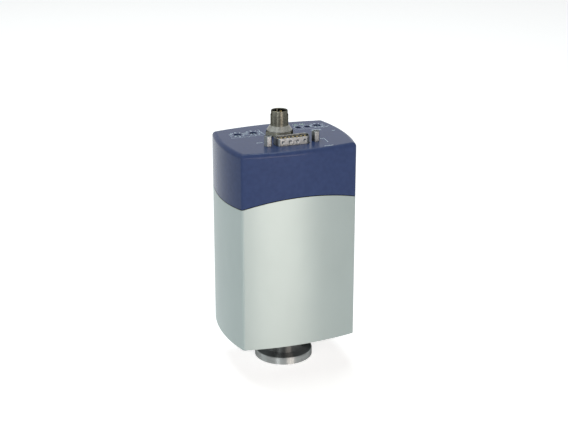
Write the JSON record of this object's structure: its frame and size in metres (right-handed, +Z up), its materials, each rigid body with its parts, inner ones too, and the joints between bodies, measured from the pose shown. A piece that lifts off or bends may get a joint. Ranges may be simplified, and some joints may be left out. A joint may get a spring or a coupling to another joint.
{
  "type": "vacuum gauge",
  "caption": "Combination vacuum gauge head: small-flange sensor tube, bowed silver housing and blue cap with rectangular and round connectors on top.",
  "frame": {"origin": "centre of the flange's sealing face, on the gauge axis", "axes": "+Z up the gauge axis from the flange to the connectors, front of the housing towards -Y, +X to the right seen from the front"},
  "size_m": [0.088, 0.069, 0.175],
  "materials": {
    "stainless": "turned and polished stainless steel",
    "housing_metal": "satin, pale silver-grey",
    "plate_metal": "milled",
    "cap_blue": "dark blue, glossy",
    "seal_rubber": "matt black",
    "connector_nickel": "nickel plated",
    "connector_tin": "tin plated steel",
    "gold_contact": "gold plated",
    "connector_black": "moulded",
    "connector_green": "moulded",
    "board_green": "lacquered board",
    "part_black": "moulded",
    "rotor_grey": "moulded",
    "rotor_brass": "bright",
    "copper_wire": "enamelled",
    "ferrite": "sintered",
    "can_metal": "bright can",
    "relay_white": "moulded",
    "lamp_clear": "clear moulded",
    "bead_glass": "sealing glass",
    "screw_steel": "zinc plated",
    "wire_metal": "drawn wire"
  },
  "bodies": {
    "root": {"sensor_tube": "stainless", "inlet_baffle": "stainless", "baffle_ring": "wire_metal", "header_plate": "stainless", "header_beads": "bead_glass", "header_pins": "wire_metal", "anode_grid": "wire_metal", "cathode_filament": "wire_metal", "thermal_filament": "wire_metal", "ion_collector": "wire_metal", "tube_collar": "plate_metal", "set_screw": "screw_steel", "housing_shell": "housing_metal", "base_plate": "plate_metal", "tie_screws": "screw_steel", "collar_screws": "screw_steel", "seam_gasket": "seal_rubber", "top_cap": "cap_blue", "rear_board": "board_green", "front_board": "board_green", "sensor_board": "board_green", "pin_sockets": "gold_contact", "sensor_headers": "part_black", "panel_headers": "part_black", "transformer_core": "ferrite", "transformer_coil": "copper_wire", "capacitors": "can_metal", "relays": "relay_white", "chips": "part_black", "panel_board": "board_green", "panel_screws": "screw_steel", "dsub_front_shell": "connector_tin", "dsub_rear_shell": "connector_tin", "dsub_insulator": "connector_green", "dsub_pins": "gold_contact", "jack_posts": "connector_tin", "jack_nuts": "screw_steel", "round_body": "connector_nickel", "round_seal": "seal_rubber", "round_nut": "connector_nickel", "round_insulator": "connector_black", "round_pins": "gold_contact", "status_lamps": "relay_white", "light_pipes": "lamp_clear", "address_tens_case": "part_black", "address_units_case": "part_black", "data_rate_case": "part_black", "setpoint_a_case": "part_black", "setpoint_b_case": "part_black"},
    "address_tens_knob": {"address_tens_rotor": "rotor_grey"},
    "address_units_knob": {"address_units_rotor": "rotor_grey"},
    "data_rate_knob": {"data_rate_rotor": "rotor_grey"},
    "setpoint_a_knob": {"setpoint_a_rotor": "rotor_brass"},
    "setpoint_b_knob": {"setpoint_b_rotor": "rotor_brass"}
  },
  "joints": [
    {"name": "address_tens_turn", "type": "hinge", "parent": "root", "child": "address_tens_knob", "pos_m": [-0.027, 0.015, 0.154], "axis": [0, 0, 1], "continuous": true},
    {"name": "address_units_turn", "type": "hinge", "parent": "root", "child": "address_units_knob", "pos_m": [-0.016, 0.015, 0.154], "axis": [0, 0, 1], "continuous": true},
    {"name": "data_rate_turn", "type": "hinge", "parent": "root", "child": "data_rate_knob", "pos_m": [0.031, 0.017, 0.154], "axis": [0, 0, 1], "continuous": true},
    {"name": "setpoint_a_turn", "type": "hinge", "parent": "root", "child": "setpoint_a_knob", "pos_m": [0.0172, 0.017, 0.154], "axis": [0, 0, 1], "range_deg": [-130, 130]},
    {"name": "setpoint_b_turn", "type": "hinge", "parent": "root", "child": "setpoint_b_knob", "pos_m": [0.0238, 0.017, 0.154], "axis": [0, 0, 1], "range_deg": [-130, 130]}
  ]
}
